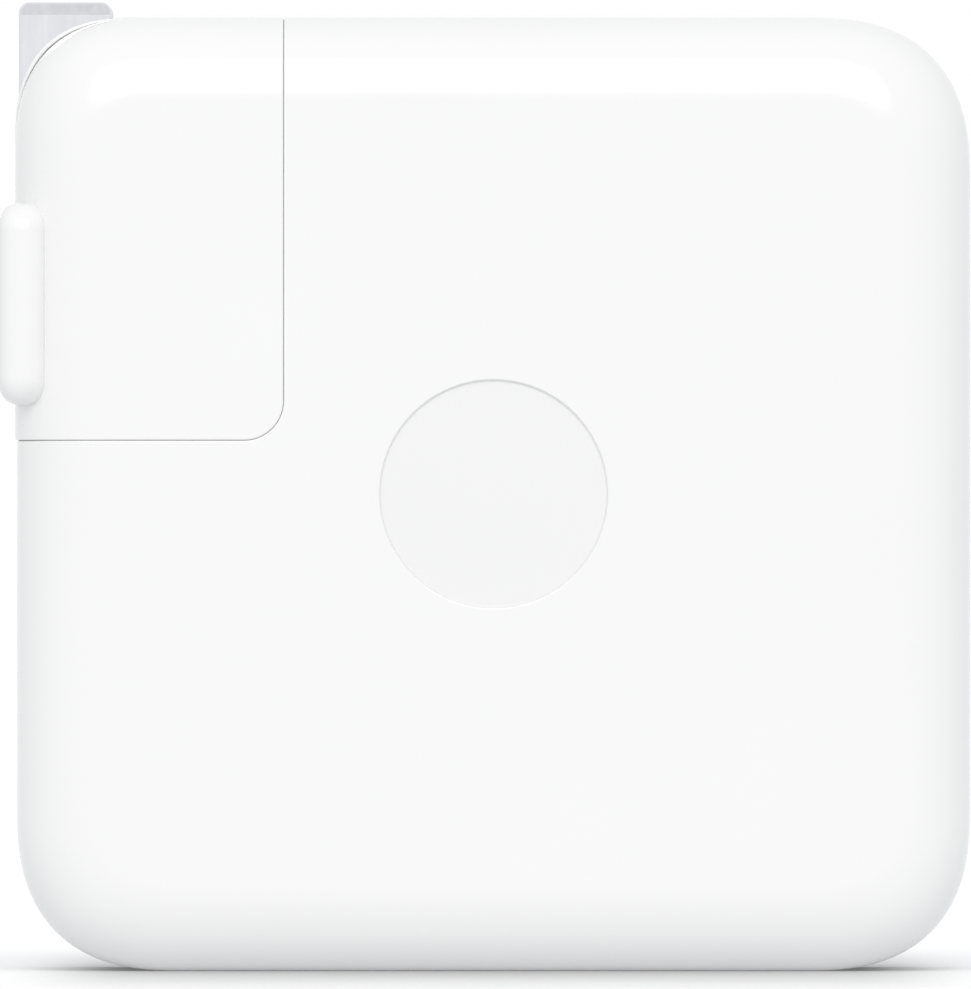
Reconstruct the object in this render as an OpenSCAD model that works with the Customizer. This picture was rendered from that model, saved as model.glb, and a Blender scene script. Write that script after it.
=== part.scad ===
// Laptop power adapter with a slide-off plug head and two folding blades.
// Millimetres. +Z is up, +X is right and the broad front face looks along -Y.
// The origin is the middle of the narrow base that the adapter stands on.

/* [Body] */
// Width of the body
body_w = 65; // [64:0.5:72]
// Height of the body
body_h = 65; // [64:0.5:72]
// Thickness of the body between its broad faces
body_t = 28.5; // [28:0.5:32]
// Reach of each corner curve along the sides
corner_reach = 10.9; // [9:0.1:11.6]
// Power of the corner curve, 2 for a circle
corner_power = 2.5; // [2:0.1:3]
// Rounding between the sides and the broad faces
edge_r = 5.7; // [5:0.1:6.2]
// Power of the edge rounding, 2 for a circle
edge_power = 2.2; // [2:0.1:2.6]
// Wall of the body
wall = 2.2; // [1.8:0.1:2.6]
// Height of the tongue along the seam
seam_lip = 1.2; // [0.8:0.1:1.6]
// Diameter of the plain round recess on the front
recess_d = 15.5; // [11:0.5:20]
// Depth of the round recess
recess_depth = 0.25; // [0.15:0.05:0.5]

/* [Plug head] */
// Width of the corner that the plug head fills
head_w = 18.15; // [17.9:0.05:18.9]
// Height of the corner that the plug head fills
head_h = 28.8; // [28.2:0.1:29.8]
// Radius of the inner corner of the parting line
cut_r = 2.7; // [2:0.1:3.5]
// Width of the parting line
part_gap = 0.12; // [0.08:0.02:0.2]
// Reach of the plug head's own corner curve
head_reach = 9.6; // [8.8:0.1:10.5]
// Power of the plug head's own corner curve
head_power = 2.62; // [2.2:0.02:3]
// Reach of the liner's corner curve, which stands a little proud between the blades
liner_reach = 8.5; // [7.9:0.1:9.3]
// How far the plug head's side stands proud of the body's
head_proud = 0.13; // [0:0.01:0.25]
// Wall of the plug head
head_wall = 1.8; // [1.4:0.1:2]
// Thickness of the base plate inside the plug head
base_plate = 1.6; // [1.2:0.1:2]

/* [Wall pad] */
// Height of the raised pad
pad_h = 13.8; // [13:0.1:15]
// Thickness of the raised pad
pad_t = 3.2; // [3:0.05:3.4]
// How far the pad stands out from the body's side
pad_proud = 1.2; // [1:0.05:1.35]
// Length of the pad across the body's thickness
pad_l = 28.4; // [26:0.1:28.4]
// Height of the pad's middle above the base of the cut-out
pad_up = 9.3; // [8.9:0.05:9.8]
// Reach of the pad's corner curve
pad_reach = 1.9; // [1.75:0.05:4]
// Power of the pad's edge rounding, 2 for a circle
pad_edge_power = 2.3; // [2:0.1:2.6]

/* [Blades] */
// Width of a blade
blade_w = 6.35; // [6.1:0.05:6.4]
// Thickness of a blade
blade_t = 1.52; // [1.4:0.02:1.6]
// Distance between the two blades
blade_pitch = 12.7; // [12.5:0.1:12.9]
// How far the folded tips stand above the body
blade_above = 1.05; // [0.6:0.05:1.6]
// Distance of the folded blades from the body's side
blade_inset = 0.1; // [0:0.05:0.3]
// Corner radius of a blade's tip
tip_r = 0.75; // [0.5:0.05:1.2]
// Length of the bevel at a blade's tip
bevel_l = 0.85; // [0.5:0.05:1.2]
// Depth of the bevel at a blade's tip
bevel_d = 0.35; // [0.2:0.05:0.5]
// Distance of the blades' pivot from the body's side
pivot_in = 3.6; // [3.5:0.05:3.9]
// How far the unfolded blades' middle lies below the pad's middle
blade_drop = 0.5; // [0.3:0.05:0.8]
// Reach of a blade's foot below the pivot
foot_l = 2.6; // [2.4:0.05:2.8]
// Radius of the hub's round barrel
hub_r = 2.1; // [1.9:0.05:2.2]
// Radius of the hub's cam
cam_r = 3.85; // [3.6:0.05:3.9]
// Distance of the cam's two flats from the pivot
cam_flat = 3.6; // [3.3:0.05:3.8]
// Half length of the hub
hub_half = 7.9; // [7.85:0.05:8.1]
// Radius of the hub's trunnions
trunnion_r = 1; // [0.9:0.05:1.1]
// Length of a trunnion
trunnion_l = 1.6; // [1.3:0.1:1.7]

/* [Inlet] */
// Distance between the two inlet pins
pin_pitch = 8.6; // [8.4:0.1:8.8]
// Diameter of an inlet pin
pin_d = 2.4; // [2.2:0.05:2.5]
// Diameter of each lobe of the nose
nose_d = 6.4; // [6:0.1:6.8]
// Length of the nose
nose_l = 7.6; // [6.5:0.1:8]
// Depth of the recess in the inlet
inlet_depth = 8.2; // [8.1:0.1:9]
// Height of the inlet housing
inlet_h = 10.7; // [10.5:0.1:11.5]
// Distance of the inlet from the body's side
inlet_in = 10.5; // [10.2:0.1:11]

/* [Stud] */
// Radius of the stud's shank
stud_r = 2; // [1.6:0.1:2.2]
// Radius of the stud's head
stud_head_r = 3.2; // [2.8:0.1:3.4]
// Thickness of the stud's head
stud_head_t = 1.2; // [1:0.1:1.4]
// Height of the stud above the base of the cut-out
stud_up = 14; // [13:0.1:15.4]
// Thickness of the track's metal
track_t = 0.4; // [0.3:0.1:0.6]

/* [USB-C port] */
// Inner width of the port
port_w = 8.34; // [8.3:0.02:8.4]
// Inner height of the port
port_h = 2.56; // [2.5:0.02:2.6]
// Metal of the port's shell
port_wall = 0.3; // [0.25:0.05:0.4]
// Length of the port's shell
port_l = 8.6; // [8:0.1:9.5]
// How far the port's mouth lies behind the body's side
port_in = 0.3; // [0.2:0.1:0.6]

/* [Electronics] */
// Thickness of the main board
board_t = 1.6; // [1.2:0.2:1.8]
// Distance of the main board's back from the rear wall's inside
board_back = 2.05; // [1.9:0.05:2.4]
// Thickness of a heat spreader
spreader_t = 0.6; // [0.4:0.1:0.7]
// Thickness of an insulating sheet
sheet_t = 0.3; // [0.2:0.05:0.4]
// Width of the transformer
trafo_w = 19; // [17:0.5:19.5]
// Length of the transformer
trafo_l = 20; // [18:0.5:20.5]
// Height of the transformer above its bobbin's base
trafo_h = 15; // [13:0.5:16]
// Diameter of a bulk capacitor
bulk_d = 11; // [8:0.5:11.5]
// Height of a bulk capacitor
bulk_h = 18; // [14:0.5:18]
// Diameter of an output capacitor
output_d = 8; // [6.3:0.1:8]
// Height of an output capacitor
output_h = 12; // [9:0.5:14]
// Outer diameter of the mains filter's ring
ring_d = 13; // [11:0.5:13.5]
// Height of the mains filter's ring
ring_h = 6.5; // [5:0.5:8]

/* [Fits] */
// Gap between pieces that are assembled once
fit = 0.1; // [0.05:0.01:0.15]
// Running gap between pieces that move past each other
run = 0.3; // [0.2:0.02:0.34]
// Clearance of a shaft or pin in its bore
shaft_fit = 0.08; // [0.04:0.01:0.1]

/* [Hidden] */
$fn = 48;
corner_steps = 10;
edge_steps = 7;
far = 60; // reach of a cutting shape past everything
half_w = body_w / 2;
half_t = body_t / 2;
mid_z = body_h / 2;
cut_x = head_w - half_w + part_gap / 2;
cut_z = body_h - head_h - part_gap / 2;
head_x = cut_x - part_gap;
head_z = cut_z + part_gap;
in_left = wall - half_w;
in_right = half_w - wall;
in_top = body_h - wall;
in_back = half_t - wall;
shell_seam = wall / 2;
white = "#f4f4f5";
metal = "#c9cacc";
// Blades and hub
blade_x0 = blade_inset - half_w;
blade_x1 = blade_x0 + blade_w;
tip_z = body_h + blade_above;
pad_z = cut_z + pad_up;
pivot_x = pivot_in - half_w;
blade_z = pad_z - blade_drop; // middle of the unfolded blades
pivot_z = blade_z + pivot_x - (blade_x0 + blade_x1) / 2;
blade_side = pivot_x - blade_x0; // distance from the pivot to a blade's outer edge
slot_half = blade_t / 2 + run - 0.04;
slot_z = blade_z - blade_w / 2 - run;
chamber_r = max(cam_r, blade_side) + run - 0.1;
cheek_in = hub_half + run - 0.1;
cheek_out = cheek_in + trunnion_l + fit;
// Plug head
pad_x = -half_w - pad_proud + pad_t / 2;
window_y = blade_pitch / 2 + slot_half + 0.65;
window_z = pad_z + pad_h / 2 - pad_t / 2 - 0.5; // lower end of the window, behind the pad
liner_x0 = pad_x + pad_t / 2 + fit;
liner_x1 = pivot_x + chamber_r + 0.9;
liner_z0 = pivot_z - chamber_r - 2.3;
inlet_x = inlet_in - half_w;
stud_z = cut_z + stud_up;
plate_x = head_x - base_plate;
plate_z = head_z + base_plate;
stud_head_x = plate_x - run;
track_x = stud_head_x - stud_head_t - run;
track_y = stud_head_r + run;
spring_x = pivot_x + cam_r + run - 0.05;
wiper_x = liner_x1 + run;
sleeve_top = plate_z + 0.4;
leaf_t = 0.4;
// Inlet
inlet_neck = nose_d / 2 + 1.8;
inlet_half_y = (pin_pitch + nose_d) / 2 + 1.6; // half width of the inlet's neck along Y
inlet_flange = 1.2;
pin_z0 = cut_z - inlet_h - 2;
pin_z1 = cut_z - 1;
lead_r = 0.9;
lead_bend = 3;
lead_drop = 1.2;
lead_step = 2.8; // how much lower the second lead turns
// Stud and strap
stud_flange_t = 0.8;
stud_flange_r = stud_r + 1.4;
strap_w = 4;
strap_t = 0.6;
strap_foot = 4;
strap_x = cut_x + wall + stud_flange_t;
// Main board
board_edge = 1.4; // gap between the board's edge and the walls
board_y1 = in_back - board_back;
board_y0 = board_y1 - board_t;
board_x0 = in_left + board_edge;
board_x1 = in_right - board_edge;
board_z0 = wall + board_edge;
board_z1 = in_top - board_edge;
notch_z = pin_z0 - 0.2; // top of the board below the inlet
notch_x = cut_x + wall + board_edge; // side of the board beside the cut-out
boss_r = 2;
peg_r = 1;
boss_in = 6; // distance of a boss from the board's edges
boss_places = [
    [board_x0 + boss_in, board_z0 + boss_in],
    [board_x1 - boss_in, board_z0 + boss_in],
    [board_x1 - boss_in, board_z1 - boss_in],
    [notch_x + boss_in, board_z1 - boss_in],
    [notch_x - boss_in, notch_z - boss_in]
];
// Sheets
plate_inset = edge_r + 0.3;
spreader_y = in_back - fit - spreader_t;
sheet_y = spreader_y - fit / 2 - sheet_t;
// Output board
output_board_l = 12;
output_board_w = 18;
output_board_t = 1;
output_y = port_h / 2 + port_wall + fit / 2;
output_x1 = in_right - 0.4;
output_x0 = output_x1 - output_board_l;
// Components, sizes along X, Y and Z
fuse_size = [4, 8, 8.4];
x_cap_size = [8, 12, 13];
rectifier_size = [3.5, 11, 8.6];
transistor_size = [10, 14, 4.4];
transistor_gap = 1.5;
controller_size = [30, 14, 1];
chip_size = [7, 6, 1.2];
wire_t = 0.8;
ring_span = ring_d + 2 * (wire_t + fit); // ring with the wire round it
choke_d = 6.5;
choke_h = 10;
disc_d = 8;
disc_t = 3.6;
bobbin_t = 1;
trafo_leg = 2.6;
trafo_yoke = 3;
trafo_post_r = 3.4;
trafo_top = board_y0 - bobbin_t - trafo_h;
trafo_y = trafo_top + trafo_h / 2;
bulk_count = 2;
output_count = 3;
// Lower row, from the leads to the board's right edge
row_x0 = inlet_x + lead_r;
row_gap = (board_x1 - row_x0 - x_cap_size[0] - ring_span - bulk_count * bulk_d) / (bulk_count + 3);
x_cap_x = row_x0 + row_gap;
ring_x = x_cap_x + x_cap_size[0] + row_gap + ring_span / 2;
bulk_x = ring_x + ring_span / 2 + row_gap + bulk_d / 2;
// Middle row, from the cut-out to the output board
middle_gap = (output_x0 - notch_x - choke_d - trafo_w) / 3;
choke_x = notch_x + middle_gap + choke_d / 2;
trafo_x = choke_x + choke_d / 2 + middle_gap + trafo_w / 2;
// Upper row, from the strap's foot to the board's right edge
upper_x0 = strap_x + strap_foot;
upper_gap = (board_x1 - upper_x0 - disc_d - output_count * output_d) / (output_count + 2);
disc_x = upper_x0 + upper_gap + disc_d / 2;
output_x = disc_x + disc_d / 2 + upper_gap + output_d / 2;
// Column from the board's lower edge to its top
column_z = ring_span + trafo_l + transistor_size[2] + output_d + controller_size[2] + chip_size[2];
column_gap = (board_z1 - board_z0 - column_z) / 6;
ring_z = board_z0 + column_gap + ring_span / 2;
trafo_z = ring_z + ring_span / 2 + column_gap + trafo_l / 2;
transistor_z = trafo_z + trafo_l / 2 + column_gap;
output_z = transistor_z + transistor_size[2] + column_gap + output_d / 2;
controller_z = output_z + output_d / 2 + column_gap + chip_size[2];

// ---- Helpers ----

// A power of a sine or cosine that keeps its sign.
function signed_power(v, e) = sign(v) * pow(abs(v), e);

// Closed outline of a rectangle with superelliptic corners, anticlockwise from the right.
function outline(hw, hh, reach, power, steps) = [
    for (q = [0:3])
        for (i = [0:steps])
            let (
                a = 90 * (q + i / steps),
                side = [1, -1, -1, 1][q],
                up = [1, 1, -1, -1][q]
            )
            [
                side * (hw - reach) + reach * signed_power(cos(a), 2 / power),
                up * (hh - reach) + reach * signed_power(sin(a), 2 / power)
            ]
];

// Depth and inset of each layer of a rounded edge, from the front face to its widest layer.
function edge_layers(ht, r, power, steps) = [
    for (j = [0:steps])
        let (b = 90 * (1 - j / steps))
        [
            r - ht - r * signed_power(sin(b), 2 / power),
            r * (1 - signed_power(cos(b), 2 / power))
        ]
];

// The same layers continued to the rear face.
function both_edges(layers) = concat(
    layers,
    [for (j = [len(layers) - 1:-1:0]) [-layers[j][0], layers[j][1]]]
);

// Solid through a row of inset outlines, each at its own depth along Y.
module loft(hw, hh, reach, power, steps, layers) {
    n = 4 * (steps + 1);
    points = [
        for (layer = layers)
            for (p = outline(hw - layer[1], hh - layer[1], reach - layer[1], power, steps))
                [p[0], layer[0], p[1]]
    ];
    sides = [
        for (k = [0:len(layers) - 2])
            for (i = [0:n - 1])
                let (
                    a = k * n + i,
                    b = k * n + (i + 1) % n
                )
                each [[a, b, b + n], [a, b + n, a + n]]
    ];
    front = [[for (i = [n - 1:-1:0]) i]];
    back = [[for (i = [0:n - 1]) (len(layers) - 1) * n + i]];
    polyhedron(points, concat(front, sides, back), convexity = 6);
}

// Front half of the body's form, drawn in by an inset, with its flat side at y_end.
module body_half(inset, y_end) {
    layers = edge_layers(half_t - inset, edge_r - inset, edge_power, edge_steps);
    translate([0, 0, mid_z])
        loft(
            half_w - inset, mid_z - inset, corner_reach - inset, corner_power, corner_steps,
            concat(layers, [[y_end, 0]])
        );
}

// Whole form that the plug head's skin follows, drawn in by an inset.
module head_form(inset) {
    layers = edge_layers(half_t - inset, edge_r - inset, edge_power, edge_steps);
    translate([0, 0, mid_z])
        loft(
            half_w + head_proud - inset, mid_z - inset, head_reach - inset, head_power, corner_steps,
            both_edges(layers)
        );
}

// Extrudes an XZ drawing along Y between two depths.
module along_y(y0, y1) {
    translate([0, y1, 0])
        rotate([90, 0, 0])
            linear_extrude(y1 - y0)
                children();
}

// Extrudes an XZ drawing by a thickness at both sides of a depth.
module slice_y(y, t) {
    along_y(y - t / 2, y + t / 2)
        children();
}

// Box between two corners.
module box(a, b) {
    translate(a)
        cube(b - a);
}

// Cylinder along X between two places.
module rod_x(x0, x1, y, z, r) {
    translate([x0, y, z])
        rotate([0, 90, 0])
            cylinder(h = x1 - x0, r = r);
}

// Cylinder along Y between two depths.
module rod_y(x, z, y0, y1, r) {
    translate([x, y1, z])
        rotate([90, 0, 0])
            cylinder(h = y1 - y0, r = r);
}

// The corner that the plug head fills, in the XZ plane, grown on its two inner sides.
module corner_region(grow) {
    x1 = cut_x + grow;
    z0 = cut_z - grow;
    r = cut_r + grow;
    translate([-far, z0])
        square([far + x1 - r, far]);
    translate([x1 - 2 * r, z0 + r])
        square([2 * r, far]);
    translate([x1 - r, z0 + r])
        circle(r);
}

// The body's outline without the plug head's corner, drawn in by an inset.
module body_plan(inset) {
    difference() {
        translate([0, mid_z])
            polygon(
                outline(half_w - inset, mid_z - inset, corner_reach - inset, corner_power, corner_steps)
            );
        corner_region(inset);
    }
}

// Two rounded lobes side by side along Y, the section of the inlet.
module lobes(d) {
    for (side = [-1, 1])
        translate([inlet_x, side * pin_pitch / 2])
            circle(d = d);
    translate([inlet_x - d / 2 + 0.6, -pin_pitch / 2])
        square([d - 1.2, pin_pitch]);
}

// Rounded slot of the USB-C port in the YZ plane, extruded along X.
module port_slot(x0, x1, w, h) {
    translate([x0, 0, mid_z])
        rotate([90, 0, 90])
            linear_extrude(x1 - x0) {
                square([h, w - h], center = true);
                for (side = [-1, 1])
                    translate([0, side * (w - h) / 2])
                        circle(d = h);
            }
}

// Metal can with a crimped groove and a sleeve, standing on the main board.
module can(x, z, d, h) {
    groove = 0.35;
    translate([x, board_y0, z])
        rotate([90, 0, 0])
            difference() {
                cylinder(h = h, d = d);
                translate([0, 0, 2])
                    rotate_extrude()
                        translate([d / 2, 0])
                            circle(groove);
            }
}

// ---- Body ----

// Half of the hollow body, front side, with the corner left out.
module hollow_half() {
    difference() {
        body_half(0, 0);
        difference() {
            body_half(wall, 1);
            along_y(-half_t, 2)
                corner_region(wall);
        }
        along_y(-half_t - 1, 1)
            corner_region(0);
    }
}

// Passages through the body's walls: port, stud and inlet.
module body_passages() {
    port_slot(in_right - 1, half_w + 1, port_w + 2 * (port_wall + fit), port_h + 2 * (port_wall + fit));
    rod_x(cut_x - 1, cut_x + wall + 1, 0, stud_z, stud_r + fit / 2);
    box(
        [inlet_x - inlet_neck, -inlet_half_y - fit, cut_z - wall - 1],
        [inlet_x + inlet_neck, inlet_half_y + fit, cut_z + 1]
    );
}

module front_shell() {
    color(white)
        difference() {
            hollow_half();
            along_y(-seam_lip, 1)
                difference() {
                    body_plan(shell_seam);
                    body_plan(wall + 1);
                }
            body_passages();
            rod_y(0, mid_z, -half_t - 1, recess_depth - half_t, recess_d / 2);
        }
}

module rear_shell() {
    color(white)
        difference() {
            union() {
                mirror([0, 1, 0])
                    hollow_half();
                along_y(fit - seam_lip, 0.5)
                    difference() {
                        body_plan(shell_seam + fit);
                        body_plan(wall);
                    }
                for (place = boss_places) {
                    rod_y(place[0], place[1], board_y1, in_back + wall / 2, boss_r);
                    rod_y(place[0], place[1], board_y0 + 0.2, board_y1 + 0.5, peg_r);
                }
            }
            body_passages();
        }
}

module inlet_housing() {
    neck_x = inlet_neck - fit;
    color("#ececee")
        difference() {
            union() {
                box(
                    [inlet_x - neck_x, -inlet_half_y, cut_z - inlet_h],
                    [inlet_x + neck_x, inlet_half_y, cut_z]
                );
                box(
                    [inlet_x - neck_x - inlet_flange, -inlet_half_y - inlet_flange, cut_z - inlet_h],
                    [inlet_x + neck_x + inlet_flange, inlet_half_y + inlet_flange, cut_z - wall - fit]
                );
            }
            translate([0, 0, cut_z - inlet_depth])
                linear_extrude(inlet_depth + 1)
                    lobes(nose_d + 2 * run);
            for (side = [-1, 1])
                translate([inlet_x, side * pin_pitch / 2, cut_z - inlet_h - 1])
                    cylinder(h = inlet_h, d = pin_d);
        }
}

module inlet_pins() {
    tip = pin_d / 2;
    color(metal)
        for (side = [-1, 1])
            translate([inlet_x, side * pin_pitch / 2, pin_z0])
                union() {
                    cylinder(h = pin_z1 - pin_z0 - tip, d = pin_d);
                    translate([0, 0, pin_z1 - pin_z0 - tip])
                        sphere(r = tip);
                }
}

// Insulated leads that drop from the pins and turn back to the main board, one below the other.
module inlet_leads() {
    color("#b03a34")
        for (side = [-1, 1])
            translate([inlet_x, side * pin_pitch / 2, pin_z0]) {
                drop = side > 0 ? lead_drop : lead_drop + lead_step;
                translate([0, 0, -drop])
                    cylinder(h = drop, r = lead_r);
                translate([0, lead_bend, -drop])
                    rotate([0, 90, 180])
                        rotate_extrude(angle = 90)
                            translate([lead_bend, 0])
                                circle(lead_r);
                translate([0, lead_bend, -drop - lead_bend])
                    rotate([-90, 0, 0])
                        cylinder(h = board_y0 - side * pin_pitch / 2 - lead_bend, r = lead_r);
            }
}

module ground_stud() {
    flange_x = cut_x + wall;
    crown = 0.4;
    color(metal)
        union() {
            rod_x(stud_head_x - 0.1, flange_x + 0.1, 0, stud_z, stud_r);
            rod_x(flange_x, flange_x + stud_flange_t, 0, stud_z, stud_flange_r);
            rod_x(stud_head_x - stud_head_t + crown, stud_head_x, 0, stud_z, stud_head_r);
            translate([stud_head_x - stud_head_t, 0, stud_z])
                rotate([0, 90, 0])
                    cylinder(h = crown, r1 = stud_head_r - crown, r2 = stud_head_r);
        }
}

module ground_strap() {
    color("#b8763c")
        union() {
            box(
                [strap_x, -strap_w / 2, stud_z - strap_w / 2],
                [strap_x + strap_t, board_y0, stud_z + strap_w / 2]
            );
            box(
                [strap_x, board_y0 - strap_t, stud_z - strap_w / 2],
                [strap_x + strap_foot, board_y0, stud_z + strap_w / 2]
            );
        }
}

// ---- Boards and components ----

// Block that stands on the main board, from its lower left corner.
module on_board(x0, z0, size) {
    box([x0, board_y0 - size[1], z0], [x0 + size[0], board_y0, z0 + size[2]]);
}

// Extrudes an XY drawing by a thickness at both sides of a height.
module slice_z(z, t) {
    translate([0, 0, z - t / 2])
        linear_extrude(t)
            children();
}

module main_board() {
    color("#2f6b46")
        difference() {
            along_y(board_y0, board_y1)
                difference() {
                    body_plan(wall + board_edge);
                    translate([-far, notch_z])
                        square([far + notch_x, far]);
                }
            for (place = boss_places)
                rod_y(place[0], place[1], board_y0 - 1, board_y1 + 1, peg_r + fit);
        }
}

// Stands between the board's left edge and the leads.
module fuse() {
    color("#26262a")
        on_board(
            (board_x0 + inlet_x - lead_r - fuse_size[0]) / 2,
            notch_z - board_edge - fuse_size[2],
            fuse_size
        );
}

module x_capacitor() {
    color("#d8b23a")
        on_board(x_cap_x, ring_z - x_cap_size[2] / 2, x_cap_size);
}

module filter_core() {
    color("#3a4a3f")
        translate([ring_x, board_y0 - wire_t - fit, ring_z])
            rotate([90, 0, 0])
                difference() {
                    cylinder(h = ring_h, d = ring_d);
                    translate([0, 0, -1])
                        cylinder(h = ring_h + 2, d = ring_d / 2);
                }
}

module filter_windings() {
    inner = ring_d / 4 - fit;
    outer = ring_d / 2 + fit;
    arc = 120;
    color("#b5652b")
        translate([ring_x, board_y0 - wire_t - fit, ring_z])
            rotate([90, 0, 0])
                for (start = [30, 210])
                    rotate([0, 0, start])
                        rotate_extrude(angle = arc)
                            difference() {
                                translate([inner - wire_t, -wire_t - fit])
                                    square([outer - inner + 2 * wire_t, ring_h + 2 * (wire_t + fit)]);
                                translate([inner, -fit])
                                    square([outer - inner, ring_h + 2 * fit]);
                            }
}

module line_choke() {
    flange_t = 1.2;
    color("#4a4a4e")
        translate([choke_x, board_y0, trafo_z - trafo_l / 4])
            rotate([90, 0, 0])
                union() {
                    cylinder(h = choke_h, d = choke_d - flange_t);
                    cylinder(h = flange_t, d = choke_d);
                    translate([0, 0, choke_h - flange_t])
                        cylinder(h = flange_t, d = choke_d);
                }
}

module bridge_rectifier() {
    color("#1f1f22")
        on_board(
            choke_x - rectifier_size[0] / 2,
            trafo_z + trafo_l / 4 - rectifier_size[2] / 2,
            rectifier_size
        );
}

module bulk_capacitors() {
    color("#2b3550")
        for (i = [0:bulk_count - 1])
            can(bulk_x + i * (bulk_d + row_gap), ring_z, bulk_d, bulk_h);
}

// Magnetic core with two outer legs and a round middle post along Z.
module transformer_core() {
    color("#39393d")
        union() {
            difference() {
                box(
                    [trafo_x - trafo_w / 2, trafo_top, trafo_z - trafo_l / 2],
                    [trafo_x + trafo_w / 2, board_y0 - bobbin_t, trafo_z + trafo_l / 2]
                );
                box(
                    [trafo_x - trafo_w / 2 + trafo_leg, trafo_top - 1, trafo_z - trafo_l / 2 + trafo_yoke],
                    [trafo_x + trafo_w / 2 - trafo_leg, board_y0, trafo_z + trafo_l / 2 - trafo_yoke]
                );
            }
            translate([trafo_x, trafo_y, trafo_z - (trafo_l - trafo_yoke) / 2])
                cylinder(h = trafo_l - trafo_yoke, r = trafo_post_r);
        }
}

module transformer_winding() {
    flange_t = 0.8;
    foot_w = 8;
    inner_l = trafo_l - 2 * trafo_yoke - 2 * fit;
    winding_r = min(trafo_w / 2 - trafo_leg, trafo_h / 2) - 3 * fit;
    foot_y = trafo_y + trafo_post_r + 1;
    color("#e0c060")
        union() {
            difference() {
                translate([trafo_x, trafo_y, trafo_z - inner_l / 2])
                    union() {
                        cylinder(h = inner_l, r = winding_r - 0.5);
                        cylinder(h = flange_t, r = winding_r);
                        translate([0, 0, inner_l - flange_t])
                            cylinder(h = flange_t, r = winding_r);
                    }
                translate([trafo_x, trafo_y, trafo_z - trafo_l])
                    cylinder(h = 2 * trafo_l, r = trafo_post_r + fit);
            }
            box(
                [trafo_x - trafo_w / 2, board_y0 - bobbin_t, trafo_z - trafo_l / 2],
                [trafo_x + trafo_w / 2, board_y0, trafo_z + trafo_l / 2]
            );
            for (end = [-1, 1])
                slice_z(trafo_z + end * (inner_l - flange_t) / 2, flange_t)
                    translate([trafo_x - foot_w / 2, foot_y])
                        square([foot_w, board_y0 - foot_y]);
        }
}

module switch_transistors() {
    color("#202023")
        for (i = [0, 1])
            on_board(
                upper_x0 + upper_gap + i * (transistor_size[0] + transistor_gap),
                transistor_z,
                transistor_size
            );
}

module y_capacitor() {
    lead_t = 1;
    color("#3b6ea8")
        translate([disc_x, board_y0 - disc_d / 2, output_z - disc_t / 2])
            union() {
                cylinder(h = disc_t, d = disc_d);
                translate([-disc_d / 4, 0, (disc_t - lead_t) / 2])
                    cube([disc_d / 2, disc_d / 2, lead_t]);
            }
}

module output_capacitors() {
    color("#a9abb0")
        for (i = [0:output_count - 1])
            can(output_x + i * (output_d + upper_gap), output_z, output_d, output_h);
}

module controller_board() {
    color("#2f6b46")
        union() {
            on_board(upper_x0, controller_z, controller_size);
            translate([upper_x0, board_y0 - controller_size[1], controller_z - chip_size[2]])
                translate([chip_size[0], chip_size[1] / 2, 0])
                    cube(chip_size);
        }
}

module output_board() {
    chip_l = 3;
    chip_w = 5;
    chip_t = 0.9;
    chip_in = 1.5;
    color("#2f6b46")
        union() {
            box(
                [output_x0, output_y, mid_z - output_board_w / 2],
                [output_x1, output_y + output_board_t, mid_z + output_board_w / 2]
            );
            box(
                [output_x0 + chip_in, output_y - chip_t, mid_z - chip_w / 2],
                [output_x0 + chip_in + chip_l, output_y, mid_z + chip_w / 2]
            );
        }
}

module output_pins() {
    pin = 0.64;
    step = 2.54;
    color("#c8a24a")
        for (i = [-3:3])
            box(
                [output_x0 + pin, output_y + output_board_t, mid_z + i * step - pin / 2],
                [output_x0 + 2 * pin, board_y0, mid_z + i * step + pin / 2]
            );
}

port_x1 = half_w - port_in;
port_x0 = port_x1 - port_l;
port_back = 0.8;

module usb_c_shell() {
    color(metal)
        difference() {
            port_slot(port_x0, port_x1, port_w + 2 * port_wall, port_h + 2 * port_wall);
            port_slot(port_x0 + port_back, port_x1 + 1, port_w, port_h);
        }
}

module usb_c_tongue() {
    tongue_w = 6.69;
    tongue_t = 0.7;
    block_l = 1.4;
    color("#26262a")
        union() {
            port_slot(
                port_x0 + port_back, port_x0 + port_back + block_l, port_w - fit, port_h - fit
            );
            box(
                [port_x0 + port_back, -tongue_t / 2, mid_z - tongue_w / 2],
                [port_x1 - 0.8, tongue_t / 2, mid_z + tongue_w / 2]
            );
        }
}

// Flat sheet that fills the body's plan inside the rounded edges.
module flat_sheet(y, t) {
    difference() {
        along_y(y, y + t)
            body_plan(plate_inset);
        if (y > 0)
            for (place = boss_places)
                rod_y(place[0], place[1], y - 1, y + t + 1, boss_r + 2 * fit);
    }
}

module heat_spreader_front() {
    color("#c0c3c8")
        flat_sheet(-spreader_y - spreader_t, spreader_t);
}

module heat_spreader_rear() {
    color("#c0c3c8")
        flat_sheet(spreader_y, spreader_t);
}

module insulator_front() {
    color("#d9cfa8")
        flat_sheet(-sheet_y - sheet_t, sheet_t);
}

module insulator_rear() {
    color("#d9cfa8")
        flat_sheet(sheet_y, sheet_t);
}

module thermal_pad() {
    color("#8a8f98")
        box(
            [trafo_x - trafo_w / 2 + 1, -sheet_y, trafo_z - trafo_l / 2 + 0.5],
            [trafo_x + trafo_w / 2 - 1, trafo_top, trafo_z + trafo_l / 2 - 0.5]
        );
}

// ---- Plug head ----

// Slots that the two blades swing through, in the skin, the pad and the liner.
module blade_slots(x1) {
    for (side = [-1, 1])
        box(
            [-far, side * blade_pitch / 2 - slot_half, slot_z],
            [x1, side * blade_pitch / 2 + slot_half, far + body_h]
        );
}

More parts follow.
